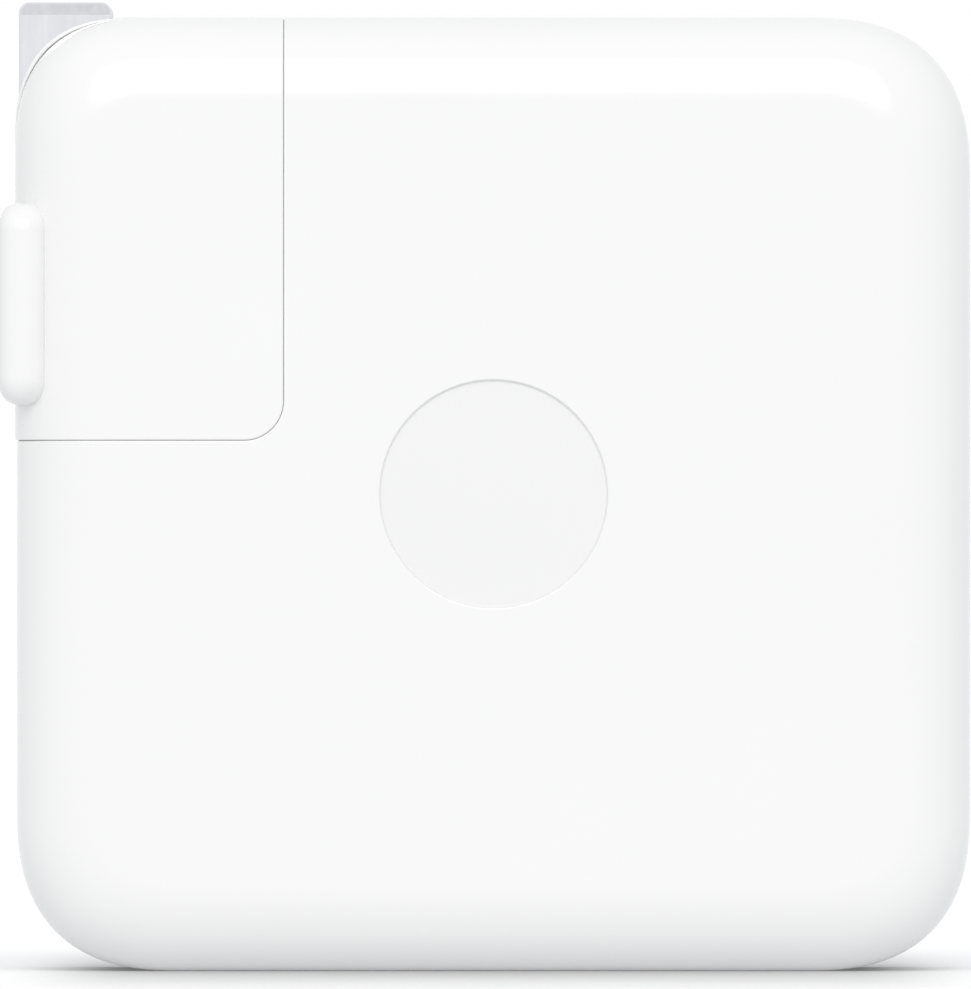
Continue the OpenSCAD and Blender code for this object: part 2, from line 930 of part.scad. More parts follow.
// The raised pad's full form, grown by a gap.
module pad_form(grow) {
    r = pad_t / 2 + grow;
    layers = both_edges(edge_layers(r, r, pad_edge_power, 6));
    translate([pad_x, 0, pad_z])
        rotate([0, 0, 90])
            loft(pad_l / 2 + grow, pad_h / 2 + grow, pad_reach + grow, 2, 7, layers);
}

// Window in the skin for the liner, over the corner between and beside the blades.
module liner_window(gap) {
    box(
        [-far, -window_y - gap, window_z - gap],
        [liner_x1 + gap, window_y + gap, far + body_h]
    );
}

module head_shell() {
    color(white)
        difference() {
            intersection() {
                head_form(0);
                along_y(-half_t - 1, half_t + 1)
                    corner_region(-part_gap);
            }
            head_form(head_wall);
            pad_form(fit);
            blade_slots(liner_x0);
            liner_window(fit);
        }
}

module head_liner() {
    slot_x = blade_x1 + run;
    color("#f0f0f2")
        difference() {
            union() {
                intersection() {
                    translate([0, 0, mid_z])
                        along_y(-window_y, window_y)
                            polygon(
                                outline(
                                    half_w + head_proud, mid_z, liner_reach, head_power, corner_steps
                                )
                            );
                    box(
                        [-far, -window_y, window_z],
                        [liner_x1, window_y, far + body_h]
                    );
                }
                box(
                    [liner_x0, -cheek_out, liner_z0],
                    [liner_x1, cheek_out, window_z + 3]
                );
            }
            pad_form(fit);
            rod_y(pivot_x, pivot_z, -cheek_in, cheek_in, chamber_r);
            rod_y(pivot_x, pivot_z, -cheek_out - 1, cheek_out + 1, trunnion_r + shaft_fit);
            blade_slots(slot_x);
            box(
                [spring_x - fit, -spring_half - fit, liner_z0 - 1],
                [spring_x + leaf_t + fit, spring_half + fit, pivot_z + spring_up + fit]
            );
            for (side = [-1, 1])
                box(
                    [pivot_x, side * blade_pitch / 2 - 1 - run, pivot_z - 1],
                    [liner_x1 + 1, side * blade_pitch / 2 + 1 + run, pivot_z + 1.5]
                );
        }
}

spring_half = 4.2;
spring_up = 5.4;

module detent_spring() {
    foot = 3;
    color(metal)
        union() {
            box(
                [spring_x, -spring_half, plate_z + leaf_t],
                [spring_x + leaf_t, spring_half, pivot_z + spring_up]
            );
            box(
                [spring_x, -2, plate_z],
                [spring_x + foot, 2, plate_z + leaf_t]
            );
            box(
                [spring_x, -2, plate_z],
                [spring_x + leaf_t, 2, plate_z + 1]
            );
        }
}

module head_base() {
    color("#e6e6e8")
        difference() {
            union() {
                intersection() {
                    along_y(-half_t, half_t)
                        difference() {
                            corner_region(-part_gap);
                            corner_region(-part_gap - base_plate);
                        }
                    head_form(head_wall + fit);
                }
                translate([0, 0, head_z - nose_l])
                    linear_extrude(nose_l + base_plate / 2)
                        lobes(nose_d);
            }
            for (side = [-1, 1])
                translate([inlet_x, side * pin_pitch / 2, head_z - nose_l - 1])
                    cylinder(h = nose_l + base_plate + 2, r = sleeve_r + fit / 2);
            box(
                [head_x - far, -stud_r - run, head_z - 1],
                [head_x + 1, stud_r + run, stud_z]
            );
            rod_x(head_x - base_plate - 1, head_x + 1, 0, stud_z, stud_r + run);
            box(
                [track_x, -track_y, head_z - 1],
                [plate_x, track_y, plate_z + 1]
            );
        }
}

sleeve_r = pin_d / 2 + 0.45;

module nose_sleeves() {
    closed = 1;
    color("#c9a45c")
        for (side = [-1, 1])
            translate([inlet_x, side * pin_pitch / 2, 0])
                difference() {
                    translate([0, 0, head_z - nose_l + 0.4])
                        cylinder(h = sleeve_top - head_z + nose_l - 0.4, r = sleeve_r);
                    translate([0, 0, head_z - nose_l])
                        cylinder(h = sleeve_top - closed - head_z + nose_l, r = pin_d / 2 + shaft_fit);
                }
}

module wiper_contacts() {
    leaf_w = 2;
    foot = 3;
    nub_x = pivot_x + chamber_r - fit;
    color("#c9a45c")
        for (side = [-1, 1]) {
            y = side * blade_pitch / 2;
            union() {
                box(
                    [wiper_x, y - leaf_w / 2, sleeve_top],
                    [wiper_x + leaf_t, y + leaf_w / 2, pivot_z + 3]
                );
                box(
                    [nub_x, y - leaf_w / 2, pivot_z - 0.5],
                    [wiper_x + leaf_t, y + leaf_w / 2, pivot_z + 1]
                );
                box(
                    [wiper_x, min(y, side * pin_pitch / 2) - leaf_w / 2, sleeve_top],
                    [wiper_x + foot, max(y, side * pin_pitch / 2) + leaf_w / 2, sleeve_top + leaf_t]
                );
            }
        }
}

module stud_track() {
    z0 = head_z + cut_r + fit; // above the base plate's inner corner
    z1 = stud_z + stud_head_r + run;
    color(metal)
        difference() {
            box(
                [track_x - track_t, -track_y - track_t, z0],
                [plate_x, track_y + track_t, z1 + track_t]
            );
            box(
                [track_x, -track_y, plate_z - 1],
                [plate_x + 1, track_y, z1]
            );
        }
}

module wall_pad() {
    color(white)
        difference() {
            pad_form(0);
            blade_slots(0);
            rod_y(pivot_x, pivot_z, -cheek_in, cheek_in, hub_r + run);
        }
}

// ---- Blades ----

// Outline of a blade in the XZ plane: a rounded tip above and a foot round the pivot.
module blade_plan() {
    translate([blade_x0, pivot_z])
        square([blade_w, tip_z - pivot_z - tip_r]);
    translate([blade_x0 + tip_r, tip_z - 2 * tip_r])
        square([blade_w - 2 * tip_r, 2 * tip_r]);
    for (x = [blade_x0 + tip_r, blade_x1 - tip_r])
        translate([x, tip_z - tip_r])
            circle(tip_r);
    intersection() {
        translate([pivot_x, pivot_z])
            circle(blade_side);
        translate([blade_x0, pivot_z - foot_l])
            square([blade_w, foot_l + 1]);
    }
}

// Blade on one side of the middle, thinned on both faces at its tip.
module blade(side) {
    past = 1; // reach of the bevel's cut past the tip
    difference() {
        slice_y(side * blade_pitch / 2, blade_t)
            blade_plan();
        for (face = [0, 1])
            translate([0, side * blade_pitch / 2, tip_z])
                mirror([0, face, 0])
                    rotate([90, 0, 90])
                        translate([0, 0, -far])
                            linear_extrude(2 * far)
                                polygon([
                                    [blade_t / 2, -bevel_l],
                                    [blade_t / 2 + past, -bevel_l],
                                    [blade_t / 2 + past, past],
                                    [blade_t / 2 - bevel_d * (1 + past / bevel_l), past]
                                ]);
    }
}

module blade_front() {
    color(metal)
        blade(-1);
}

module blade_rear() {
    color(metal)
        blade(1);
}

// Barrel with a cam of two flats and a trunnion at each end.
module blade_hub() {
    color("#dcdcdf")
        difference() {
            union() {
                rod_y(pivot_x, pivot_z, -hub_half, hub_half, hub_r);
                intersection() {
                    rod_y(pivot_x, pivot_z, -hub_half, hub_half, cam_r);
                    box(
                        [pivot_x - 1, -hub_half, pivot_z - cam_flat],
                        [pivot_x + cam_flat, hub_half, pivot_z + 1]
                    );
                }
                rod_y(pivot_x, pivot_z, -hub_half - trunnion_l, hub_half + trunnion_l, trunnion_r);
            }
            for (side = [-1, 1])
                slice_y(side * blade_pitch / 2, blade_t + fit)
                    translate([blade_x0 - fit, pivot_z - foot_l - fit])
                        square([blade_w + 2 * fit, 4 * foot_l]);
        }
}

front_shell();
rear_shell();
inlet_housing();
inlet_pins();
inlet_leads();
ground_stud();
ground_strap();
main_board();
fuse();
x_capacitor();
filter_core();
filter_windings();
line_choke();
bridge_rectifier();
bulk_capacitors();
transformer_core();
transformer_winding();
switch_transistors();
y_capacitor();
output_capacitors();
controller_board();
output_board();
output_pins();
usb_c_shell();
usb_c_tongue();
heat_spreader_front();
heat_spreader_rear();
insulator_front();
insulator_rear();
thermal_pad();
head_shell();
head_liner();
head_base();
wall_pad();
nose_sleeves();
stud_track();
wiper_contacts();
detent_spring();
blade_hub();
blade_front();
blade_rear();
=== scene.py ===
import math

import bmesh
import bpy
from mathutils import Matrix, Vector


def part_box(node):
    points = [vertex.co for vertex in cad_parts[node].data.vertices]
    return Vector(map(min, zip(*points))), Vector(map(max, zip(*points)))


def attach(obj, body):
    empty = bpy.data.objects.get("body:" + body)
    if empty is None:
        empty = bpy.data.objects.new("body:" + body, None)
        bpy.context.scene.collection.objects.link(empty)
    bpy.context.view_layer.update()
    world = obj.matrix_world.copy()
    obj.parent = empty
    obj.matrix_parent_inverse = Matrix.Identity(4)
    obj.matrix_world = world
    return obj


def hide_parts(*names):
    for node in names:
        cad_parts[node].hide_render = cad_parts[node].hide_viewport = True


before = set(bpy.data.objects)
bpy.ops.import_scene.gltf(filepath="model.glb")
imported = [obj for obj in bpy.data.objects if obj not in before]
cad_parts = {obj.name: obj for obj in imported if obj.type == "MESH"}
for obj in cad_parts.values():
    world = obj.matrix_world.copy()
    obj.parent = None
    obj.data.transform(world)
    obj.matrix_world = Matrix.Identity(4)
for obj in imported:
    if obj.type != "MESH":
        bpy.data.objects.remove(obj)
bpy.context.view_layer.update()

scene = bpy.context.scene
scene.view_settings.view_transform = "Standard"
MM = 0.001

# ---- Sizes of the mouldings, in metres ----

# Lengths too short to count, and how far cutting blocks reach past the adapter and above it.
hair, touching = 1e-6, 1e-7
far, past, above = 60 * MM, 0.1, 0.2

# Body: how far its corners and rims reach, and the powers of the superellipses that draw them.
half_w, half_t, body_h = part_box("rear_shell")[1]
mid_z = body_h / 2
corner_reach, corner_power = 10.9 * MM, 2.5
edge_reach, edge_power = 5.7 * MM, 2.2
wall = 2.2 * MM
recess_r, recess_depth = 7.75 * MM, 0.25 * MM

# Gaps: between mouldings that slide together, and round the plug head, solid and seen.
fit = 0.1 * MM
part_gap, seen_gap = 0.12 * MM, 0.02 * MM

# Seam between the covers: the tongue's step in from the outside, its length, how much thinner it
# is than the wall that it leaves, and how deep its root runs into the rear cover.
seam_step, seam_lip = 1.1 * MM, 1.2 * MM
seam_relief, seam_root = 0.35 * MM, 0.4 * MM

# Plug head and the notch that it fills.
head_low, head_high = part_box("head_shell")
head_reach, head_power, head_wall = 9.6 * MM, 2.62, 1.8 * MM
cut_x = head_high.x + part_gap
cut_z = head_low.z - part_gap
cut_round = 2.7 * MM

# Wall pad, and the room that the hub of the blades turns in behind it.
pad_low, pad_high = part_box("wall_pad")
pad_reach, pad_power = 1.9 * MM, 2.3
pad_bite = 0.01 * MM
pivot = Vector((-28.9 * MM, 0, 45.265 * MM))
hub_room_y, hub_room_r = 8.1 * MM, 2.4 * MM

# Crown of the liner, which fills the skin's window at the corner, and the fine groove round it.
liner_low, liner_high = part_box("head_liner")
window_y, window_z = 8.02 * MM, 50.24 * MM
crown_reach, crown_rim, crown_gap = 8.5 * MM, 0.05 * MM, 0.005 * MM
groove_reach, groove_lip, groove_y = 8.59 * MM, 0.2 * MM, 7.82 * MM

# Blades and their slots.
blade_low, blade_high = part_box("blade_front")
blade_y = abs(blade_low.y + blade_high.y) / 2
tip_round, heel_round, tip_bevel, bevel_depth = 0.75 * MM, 1.7 * MM, 0.85 * MM, 0.5 * MM
slot_half, slot_z, slot_behind = 1.02 * MM, 41.465 * MM, 0.3 * MM

# Openings for the port, the earthing stud and the mains inlet, whose flange laps behind its hole.
port_low, port_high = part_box("usb_c_shell")
port_wall, port_floor = 0.3 * MM, 0.8 * MM
stud_low, stud_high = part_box("ground_stud")
stud_z = (stud_low.z + stud_high.z) / 2
stud_hole_r = 2.05 * MM
inlet_low, inlet_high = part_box("inlet_housing")
inlet_lap_x, inlet_lap_y = 1.03 * MM, 1.1 * MM
inlet_mid = (inlet_low.x + inlet_high.x) / 2
inlet_half = (inlet_high.x - inlet_low.x) / 2 - inlet_lap_x
inlet_deep = inlet_high.y - inlet_lap_y

# Widths of the eased edges.
cover_ease, pad_ease, blade_ease, trim_ease = 0.13 * MM, 0.12 * MM, 0.15 * MM, 0.08 * MM


# ---- Shaping ----

def block(low, high):
    """Block between two corners."""
    low, high = Vector(low), Vector(high)
    bm = bmesh.new()
    bmesh.ops.create_cube(bm, size=1)
    bmesh.ops.scale(bm, vec=high - low, verts=bm.verts)
    bmesh.ops.translate(bm, vec=(low + high) / 2, verts=bm.verts)
    return bm


def along(bm, axis):
    """Edges that run along one axis."""
    return [e for e in bm.edges if abs((e.verts[1].co - e.verts[0].co).normalized()[axis]) > 0.999]


def round_over(bm, edges, reach, steps):
    bmesh.ops.bevel(
        bm, geom=edges, offset=reach, offset_type="OFFSET", segments=steps, profile=0.5,
        affect="EDGES", material=-1,
    )


def rod(axis, centre, low, high, radius, steps=64):
    """Round bar along X (0) or Y (1)."""
    bm = bmesh.new()
    bmesh.ops.create_cone(
        bm, cap_ends=True, segments=steps, radius1=radius, radius2=radius, depth=high - low
    )
    quarter = Matrix.Rotation(math.pi / 2, 3, "YX"[axis])
    bmesh.ops.rotate(bm, matrix=quarter, verts=bm.verts)
    place = Vector(centre)
    place[axis] = (low + high) / 2
    bmesh.ops.translate(bm, vec=place, verts=bm.verts)
    return bm


def rounded_slab(size, reach, power, edge, power_across, steps=(24, 16)):
    """Slab with its corners drawn along a superellipse and its rims rounded the same way.

    size holds the half width, half thickness and half height. The slab stands round the origin.
    """
    half_x, half_y, half_z = size
    bm = block((-half_x, -half_y, -half_z), (half_x, half_y, half_z))
    round_over(bm, along(bm, 1), reach, steps[0])
    rims = [e for e in bm.edges if abs(e.verts[0].co.y - e.verts[1].co.y) < hair]
    round_over(bm, rims, edge, steps[1])
    for v in bm.verts:
        x, z = max(abs(v.co.x) - half_x + reach, 0), max(abs(v.co.z) - half_z + reach, 0)
        out = math.hypot(x, z)
        across, deep = (edge - reach + out) / edge, (edge - half_y + abs(v.co.y)) / edge
        if across > hair and deep > hair:
            swell = (across ** power_across + deep ** power_across) ** (-1 / power_across)
            v.co.y = math.copysign(half_y - edge + edge * deep * swell, v.co.y)
            out = reach - edge + edge * across * swell
        scale = math.hypot(x, z)
        swell = ((x / scale) ** power + (z / scale) ** power) ** (-1 / power)
        v.co.x = math.copysign(min(abs(v.co.x), half_x - reach) + out * swell * x / scale, v.co.x)
        v.co.z = math.copysign(min(abs(v.co.z), half_z - reach) + out * swell * z / scale, v.co.z)
    return bm


def raised(bm):
    """Lifts a form from the origin to the middle of the body's height."""
    bmesh.ops.translate(bm, vec=(0, 0, mid_z), verts=bm.verts)
    return bm


def make(bm, name):
    """Turns a finished bmesh into a piece, with its place in its mesh."""
    bmesh.ops.remove_doubles(bm, verts=bm.verts, dist=touching)
    bmesh.ops.recalc_face_normals(bm, faces=bm.faces)
    mesh = bpy.data.meshes.new(name)
    bm.to_mesh(mesh)
    bm.free()
    piece = bpy.data.objects.new(name, mesh)
    scene.collection.objects.link(piece)
    return piece


def carve(piece, tool, operation="DIFFERENCE"):
    """Cuts a piece with a bmesh or another piece, which is used up."""
    cutter = make(tool, "cutter") if isinstance(tool, bmesh.types.BMesh) else tool
    cut = piece.modifiers.new("cut", "BOOLEAN")
    cut.operation, cut.solver, cut.object = operation, "EXACT", cutter
    shaped = bpy.data.meshes.new_from_object(
        piece.evaluated_get(bpy.context.evaluated_depsgraph_get())
    )
    piece.modifiers.clear()
    # Kept shading would hide the new edges from the next easing.
    if "custom_normal" in shaped.attributes:
        shaped.attributes.remove(shaped.attributes["custom_normal"])
    shaped.name = piece.name
    piece.data = shaped
    bpy.data.objects.remove(cutter)
    return piece


def copy_of(piece, name):
    twin = bpy.data.objects.new(name, piece.data.copy())
    scene.collection.objects.link(twin)
    return twin


def ease(piece, width, sharp=35, steps=3):
    """Rounds a piece's cut edges and shades the rest smooth."""
    for face in piece.data.polygons:
        face.use_smooth = True
    bevel = piece.modifiers.new("eased_edges", "BEVEL")
    bevel.width, bevel.segments, bevel.limit_method = width, steps, "ANGLE"
    bevel.angle_limit = math.radians(sharp)
    bevel.use_clamp_overlap = False
    return level(piece)


def level(piece, sharp=None):
    """Shades the large flat faces flat up to their rounded edges, and keeps sharp edges sharp."""
    if sharp:
        piece.data.set_sharp_from_angle(angle=math.radians(sharp))
    flats = piece.modifiers.new("flat_faces", "WEIGHTED_NORMAL")
    flats.weight = 50
    flats.keep_sharp = True
    return piece


def fit_on(piece, body, slot, finish, *nodes):
    """Puts a finish on a piece, and the piece on its body in place of its nodes."""
    if not piece.data.materials:
        piece.data.materials.append(finish)
    piece.data.materials[0] = finish
    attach(piece, body)
    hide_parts(*nodes)
    return piece


# ---- Finishes ----

# The range that most of a noise pattern's values lie in.
noise_low, noise_high = 0.3, 0.7
# How fine the shared patterns are: drifts of colour and gloss, drawn lines, and gloss on wire.
colour_drift, gloss_drift, plate_drift, drawn_lines, wire_gloss, mask_gloss = (
    45, 160, 220, 900, 500, 300
)
# A wave texture of scale 1 repeats at this length; a turn stands out by this share of its pitch.
wave_period, turn_relief = 0.31416, 0.3


def blank(name):
    """A material with its shader and the object's own coordinates."""
    material = bpy.data.materials.new(name)
    material.use_nodes = True
    tree = material.node_tree
    place = tree.nodes.new("ShaderNodeTexCoord")
    return material, tree, tree.nodes["Principled BSDF"], place.outputs["Object"]


def noise(tree, place, scale, detail=3.0, stretch=(1, 1, 1)):
    turn = tree.nodes.new("ShaderNodeMapping")
    turn.inputs["Scale"].default_value = stretch
    tree.links.new(place, turn.inputs["Vector"])
    grain = tree.nodes.new("ShaderNodeTexNoise")
    grain.inputs["Scale"].default_value = scale
    grain.inputs["Detail"].default_value = detail
    tree.links.new(turn.outputs["Vector"], grain.inputs["Vector"])
    return grain.outputs["Fac"]


def span(tree, value, ends):
    """Maps a value from one range to another; ends names each end of both."""
    mapped = tree.nodes.new("ShaderNodeMapRange")
    for socket, number in ends.items():
        mapped.inputs[socket].default_value = number
    tree.links.new(value, mapped.inputs["Value"])
    return mapped


def set_gloss(tree, shader, value, rough):
    """Spreads a pattern's middle range between two roughnesses."""
    mapped = span(tree, value, {
        "From Min": noise_low, "From Max": noise_high, "To Min": rough[0], "To Max": rough[1],
    })
    tree.links.new(mapped.outputs["Result"], shader.inputs["Roughness"])


def blend_colours(tree, value, first, second, target):
    ramp = tree.nodes.new("ShaderNodeValToRGB")
    ends = ramp.color_ramp.elements
    for end, position, colour in ((ends[0], noise_low, first), (ends[1], noise_high, second)):
        end.position, end.color = position, (*colour, 1)
    tree.links.new(value, ramp.inputs["Fac"])
    tree.links.new(ramp.outputs["Color"], target)


def relief(tree, shader, value, depth):
    bump = tree.nodes.new("ShaderNodeBump")
    bump.inputs["Distance"].default_value = depth
    bump.inputs["Strength"].default_value = 1
    tree.links.new(value, bump.inputs["Height"])
    tree.links.new(bump.outputs["Normal"], shader.inputs["Normal"])


def moulded(name, colour, shade, rough, grain, depth, ior=None):
    """Moulded plastic or lacquer: a slow drift of colour and gloss over a fine skin."""
    material, tree, shader, place = blank(name)
    slow = noise(tree, place, colour_drift, 2)
    blend_colours(tree, slow, colour, shade, shader.inputs["Base Color"])
    set_gloss(tree, shader, noise(tree, place, gloss_drift), rough)
    relief(tree, shader, noise(tree, place, grain, 2), depth)
    if ior:
        shader.inputs["IOR"].default_value = ior
    return material


def plated(name, colour, shade, rough, stretch, depth):
    """Metal with a drawn or brushed grain along one direction."""
    material, tree, shader, place = blank(name)
    shader.inputs["Metallic"].default_value = 1
    lines = noise(tree, place, drawn_lines, 4, stretch)
    drift = noise(tree, place, plate_drift, 3)
    blend_colours(tree, drift, colour, shade, shader.inputs["Base Color"])
    set_gloss(tree, shader, lines, rough)
    relief(tree, shader, lines, depth)
    return material


def wound(name, colour, shade, rough, axis, pitch, metallic):
    """Turns of wire or tape, one beside the other along an axis, each with painted shade: darker
    in the grooves between turns, lighter on their crests.
    """
    material, tree, shader, place = blank(name)
    shader.inputs["Metallic"].default_value = metallic
    turns = tree.nodes.new("ShaderNodeTexWave")
    turns.bands_direction = axis
    turns.wave_profile = "SIN"
    turns.inputs["Scale"].default_value = wave_period / pitch
    turns.inputs["Distortion"].default_value = 0.4
    turns.inputs["Detail"].default_value = 1
    tree.links.new(place, turns.inputs["Vector"])
    # Painted shade: the colour falls to the shade colour in the grooves between turns.
    blend_colours(tree, turns.outputs["Fac"], shade, colour, shader.inputs["Base Color"])
    set_gloss(tree, shader, noise(tree, place, wire_gloss), rough)
    relief(tree, shader, turns.outputs["Fac"], pitch * turn_relief)
    return material


def circuit(name):
    """Glass-fibre board under a green mask, with faint copper tracks below it."""
    material, tree, shader, place = blank(name)
    tracks = tree.nodes.new("ShaderNodeTexBrick")
    tracks.inputs["Scale"].default_value = 420
    tracks.inputs["Mortar Size"].default_value = 0.09
    tracks.inputs["Color1"].default_value = (0.022, 0.12, 0.055, 1)
    tracks.inputs["Color2"].default_value = (0.028, 0.14, 0.062, 1)
    tracks.inputs["Mortar"].default_value = (0.05, 0.22, 0.09, 1)
    turn = tree.nodes.new("ShaderNodeMapping")
    turn.inputs["Rotation"].default_value = (math.pi / 2, 0, 0)
    tree.links.new(place, turn.inputs["Vector"])
    tree.links.new(turn.outputs["Vector"], tracks.inputs["Vector"])
    tree.links.new(tracks.outputs["Color"], shader.inputs["Base Color"])
    set_gloss(tree, shader, noise(tree, place, mask_gloss), (0.3, 0.42))
    relief(tree, shader, tracks.outputs["Fac"], 0.02 * MM)
    return material


gloss_white = moulded(
    "gloss_white_polycarbonate", colour=(0.905, 0.906, 0.908), shade=(0.914, 0.915, 0.917),
    rough=(0.13, 0.18), grain=1300, depth=0.0012 * MM, ior=1.5,
)
liner_white = moulded(
    "liner_white", colour=(0.9, 0.901, 0.904), shade=(0.91, 0.911, 0.914),
    rough=(0.22, 0.3), grain=1600, depth=0.002 * MM,
)
satin_white = moulded(
    "mark_recess_satin", colour=(0.86, 0.862, 0.868), shade=(0.872, 0.873, 0.878),
    rough=(0.36, 0.44), grain=4200, depth=0.004 * MM,
)
black_plastic = moulded(
    "black_moulding", colour=(0.012, 0.012, 0.013), shade=(0.02, 0.02, 0.022),
    rough=(0.42, 0.55), grain=3000, depth=0.01 * MM,
)
nickel = plated(
    "nickel_plate", colour=(0.752, 0.757, 0.781), shade=(0.724, 0.729, 0.757),
    rough=(0.12, 0.18), stretch=(4, 4, 0.25), depth=0.001 * MM,
)
# Painted shade: a darker copy of the nickel for the blades' tip bevels, so that they stay darker
# than the lamp lights them; it is also a little rougher.
bevel_nickel_painted_shade = plated(
    "bevel_nickel_painted_shade", colour=(0.63, 0.635, 0.66), shade=(0.582, 0.587, 0.615),
    rough=(0.18, 0.26), stretch=(3, 3, 1), depth=0.002 * MM,
)
turned_nickel = plated(
    "turned_nickel", colour=(0.74, 0.74, 0.745), shade=(0.69, 0.69, 0.70),
    rough=(0.16, 0.26), stretch=(1, 3, 3), depth=0.001 * MM,
)
brass = plated(
    "bright_brass", colour=(0.72, 0.52, 0.24), shade=(0.62, 0.43, 0.18),
    rough=(0.2, 0.34), stretch=(2, 2, 0.5), depth=0.001 * MM,
)
inner_finishes = {
    "body_white": gloss_white,
    "head_inner": liner_white,
    "black_plastic": black_plastic,
    "nickel": turned_nickel,
    "brass": brass,
    "board": circuit("circuit_board"),
    "copper": wound(
        "enamelled_wire", colour=(0.6, 0.22, 0.09), shade=(0.22, 0.06, 0.025),
        rough=(0.2, 0.3), axis="Y", pitch=0.5 * MM, metallic=0.7,
    ),
    "yellow_plastic": wound(
        "yellow_tape", colour=(0.74, 0.5, 0.08), shade=(0.6, 0.38, 0.05),
        rough=(0.35, 0.5), axis="Z", pitch=3 * MM, metallic=0,
    ),
    "ferrite": moulded(
        "sintered_ferrite", colour=(0.03, 0.03, 0.033), shade=(0.05, 0.05, 0.054),
        rough=(0.5, 0.7), grain=2600, depth=0.02 * MM,
    ),
    "can_sleeve": moulded(
        "can_sleeve", colour=(0.012, 0.02, 0.055), shade=(0.018, 0.028, 0.07),
        rough=(0.25, 0.35), grain=900, depth=0.004 * MM,
    ),
    "can_metal": plated(
        "bare_aluminium", colour=(0.8, 0.81, 0.82), shade=(0.72, 0.73, 0.745),
        rough=(0.3, 0.45), stretch=(1, 1, 1), depth=0.002 * MM,
    ),
    "blue_ceramic": moulded(
        "dipped_ceramic", colour=(0.03, 0.13, 0.36), shade=(0.045, 0.17, 0.42),
        rough=(0.25, 0.4), grain=700, depth=0.03 * MM,
    ),
    "sheet": moulded(
        "insulating_film", colour=(0.7, 0.62, 0.4), shade=(0.66, 0.58, 0.36),
        rough=(0.3, 0.4), grain=400, depth=0.004 * MM,
    ),
    "thermal": moulded(
        "thermal_pad", colour=(0.24, 0.26, 0.3), shade=(0.28, 0.3, 0.34),
        rough=(0.7, 0.85), grain=2200, depth=0.03 * MM,
    ),
    "lead_insulation": moulded(
        "lead_insulation", colour=(0.42, 0.03, 0.025), shade=(0.5, 0.045, 0.035),
        rough=(0.35, 0.45), grain=1500, depth=0.006 * MM,
    ),
}
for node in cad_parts.values():
    for place in node.material_slots:
        place.material = inner_finishes[place.material.name.split(".")[0]]
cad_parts["ground_strap"].material_slots[0].material = plated(
    "tinned_copper_strap", colour=(0.72, 0.36, 0.2), shade=(0.6, 0.28, 0.15),
    rough=(0.28, 0.42), stretch=(1, 1, 3), depth=0.002 * MM,
)


# ---- Body ----

def body_form(inset):
    return raised(rounded_slab(
        (half_w - inset, half_t - inset, mid_z - inset),
        corner_reach - inset, corner_power, edge_reach - inset, edge_power,
    ))


def head_corner(grow):
    """The corner of the body that the plug head fills."""
    x, z = cut_x + grow, cut_z - grow
    bm = block((-past, -past, z), (x, past, above))
    inner = [e for e in along(bm, 1) if e.verts[0].co.x > x - MM and e.verts[0].co.z < z + MM]
    round_over(bm, inner, cut_round + grow, steps=20)
    return bm


def port_slot(x0, x1, grow):
    """The port's rounded slot, grown on all sides; its rounds stop just short of meeting."""
    half_y, half_z = port_high.y + grow, (port_high.z - port_low.z) / 2 + grow
    bm = block((x0, -half_y, mid_z - half_z), (x1, half_y, mid_z + half_z))
    round_over(bm, along(bm, 0), half_y * 0.9999, steps=12)
    return bm


def seam_ring(outset, inset, y0, y1):
    """Band round the body between two insets, which the seam's tongue fills."""
    ring = make(block((-past, y0, -past), (past, y1, above)), "seam_ring")
    for size, operation in ((outset, "INTERSECT"), (inset, "DIFFERENCE")):
        plan = raised(rounded_slab(
            (half_w - size, past, mid_z - size), corner_reach - size, corner_power,
            edge=MM, power_across=2, steps=(24, 1),
        ))
        carve(ring, carve(make(plan, "plan"), head_corner(size)), operation)
    return ring


def cut_openings(cover):
    """Opens a cover for the port, the stud and the mains inlet."""
    carve(cover, port_slot(half_w - 2 * wall, half_w + wall, fit))
    carve(cover, rod(0, (0, 0, stud_z), cut_x - MM, cut_x + 2 * wall, stud_hole_r))
    carve(cover, block(
        (inlet_mid - inlet_half, -inlet_deep, cut_z - 2 * wall),
        (inlet_mid + inlet_half, inlet_deep, cut_z + MM),
    ))


shell = make(body_form(0), "shell")
carve(shell, carve(make(body_form(wall), "cavity"), head_corner(wall)))
carve(shell, head_corner(0))

rear = copy_of(shell, "rear_cover")
carve(rear, block((-past, 0, -past), (past, past, above)), "INTERSECT")
tongue = seam_ring(seam_step + fit, wall - seam_relief, fit - seam_lip, seam_root)
carve(rear, tongue, "UNION")
cut_openings(rear)

shell.name = "front_cover"
front = carve(shell, block((-past, -past, -past), (past, 0, above)), "INTERSECT")
carve(front, seam_ring(seam_step, wall + MM, -seam_lip, MM))
cut_openings(front)
recess_y = recess_depth - half_t
carve(front, rod(1, (0, 0, mid_z), -half_t - MM, recess_y, recess_r, steps=128))
for finish in (gloss_white, satin_white):
    front.data.materials.append(finish)
for face in front.data.polygons:
    if abs(face.center.y - recess_y) < hair and face.normal.y < -0.99:
        face.material_index = 1
for cover, node in ((front, "front_shell"), (rear, "rear_shell")):
    ease(cover, cover_ease)
    fit_on(cover, "adapter", "body_white", gloss_white, node)


# ---- Plug head ----

def head_form(inset):
    return raised(rounded_slab(
        (-head_low.x - inset, half_t - inset, mid_z - inset),
        head_reach - inset, head_power, edge_reach - inset, edge_power,
    ))


